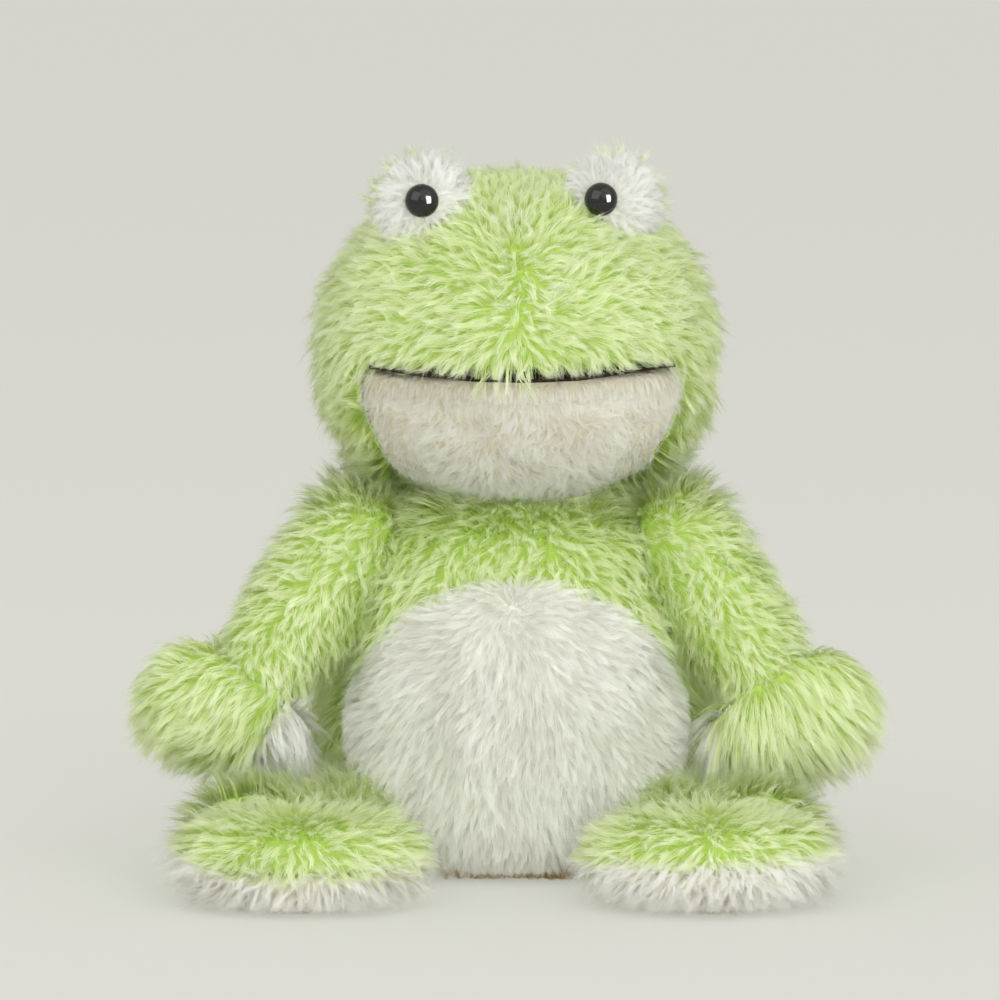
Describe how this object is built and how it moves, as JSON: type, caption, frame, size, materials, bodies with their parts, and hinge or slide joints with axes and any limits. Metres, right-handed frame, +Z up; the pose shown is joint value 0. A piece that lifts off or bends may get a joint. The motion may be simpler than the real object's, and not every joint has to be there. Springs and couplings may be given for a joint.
{
  "type": "plush frog",
  "caption": "Sitting plush frog in long green pile, with white belly, palms and soles, a cream jaw, dark mouth line and glossy black eyes.",
  "frame": {"origin": "middle of the footprint, on the table", "axes": "+Z up, the face looks along -Y, +X towards the viewer's right"},
  "size_m": [0.3314, 0.2188, 0.328],
  "materials": {
    "green_pile": "long-pile polyester plush, light green with paler tips",
    "white_pile": "long-pile polyester plush, white",
    "cream_pile": "shorter polyester plush, cream",
    "dark_felt": "dark brown felt, cut edge",
    "black_plastic": "polished black",
    "pale_plastic": "moulded, unpolished",
    "calico": "plain woven cotton"
  },
  "bodies": {
    "body": {"torso": "green_pile", "belly_panel": "white_pile", "grain_pouch": "calico"},
    "head": {"head": "green_pile", "jaw_panel": "cream_pile", "mouth_felt": "dark_felt", "left_eye_mound": "green_pile", "right_eye_mound": "green_pile", "left_eye_patch": "white_pile", "right_eye_patch": "white_pile", "left_eye": "black_plastic", "right_eye": "black_plastic", "left_eye_washer": "pale_plastic", "right_eye_washer": "pale_plastic"},
    "left_arm": {"left_arm": "green_pile"},
    "left_paw": {"left_paw": "green_pile", "left_palm": "white_pile"},
    "left_leg": {"left_leg": "green_pile"},
    "left_foot": {"left_foot": "green_pile", "left_sole": "white_pile"},
    "right_arm": {"right_arm": "green_pile"},
    "right_paw": {"right_paw": "green_pile", "right_palm": "white_pile"},
    "right_leg": {"right_leg": "green_pile"},
    "right_foot": {"right_foot": "green_pile", "right_sole": "white_pile"}
  },
  "joints": [
    {"name": "head_turn", "type": "hinge", "parent": "body", "child": "head", "pos_m": [0.00425, 0.03555, 0.172], "axis": [0, 0, 1], "range_deg": [-30, 30]},
    {"name": "left_shoulder", "type": "hinge", "parent": "body", "child": "left_arm", "pos_m": [-0.06775, 0.02355, 0.152], "axis": [-0.8803, -0.3501, 0.3201], "range_deg": [-20, 60]},
    {"name": "left_wrist", "type": "hinge", "parent": "left_arm", "child": "left_paw", "pos_m": [-0.10675, -0.00445, 0.1], "axis": [-1, 0, 0], "range_deg": [-25, 25]},
    {"name": "left_hip", "type": "hinge", "parent": "body", "child": "left_leg", "pos_m": [-0.06275, 0.00155, 0.023], "axis": [0, 0, -1], "range_deg": [-8, 22]},
    {"name": "left_ankle", "type": "hinge", "parent": "left_leg", "child": "left_foot", "pos_m": [-0.09675, -0.04245, 0.023], "axis": [-1, 0, 0], "range_deg": [0, 30]},
    {"name": "right_shoulder", "type": "hinge", "parent": "body", "child": "right_arm", "pos_m": [0.07625, 0.02355, 0.152], "axis": [-0.8803, 0.3501, -0.3201], "range_deg": [-20, 60]},
    {"name": "right_wrist", "type": "hinge", "parent": "right_arm", "child": "right_paw", "pos_m": [0.11225, -0.00445, 0.1], "axis": [-1, 0, 0], "range_deg": [-25, 25]},
    {"name": "right_hip", "type": "hinge", "parent": "body", "child": "right_leg", "pos_m": [0.06525, 0.00155, 0.023], "axis": [0, 0, 1], "range_deg": [-8, 22]},
    {"name": "right_ankle", "type": "hinge", "parent": "right_leg", "child": "right_foot", "pos_m": [0.09425, -0.04245, 0.023], "axis": [-1, 0, 0], "range_deg": [0, 30]}
  ]
}
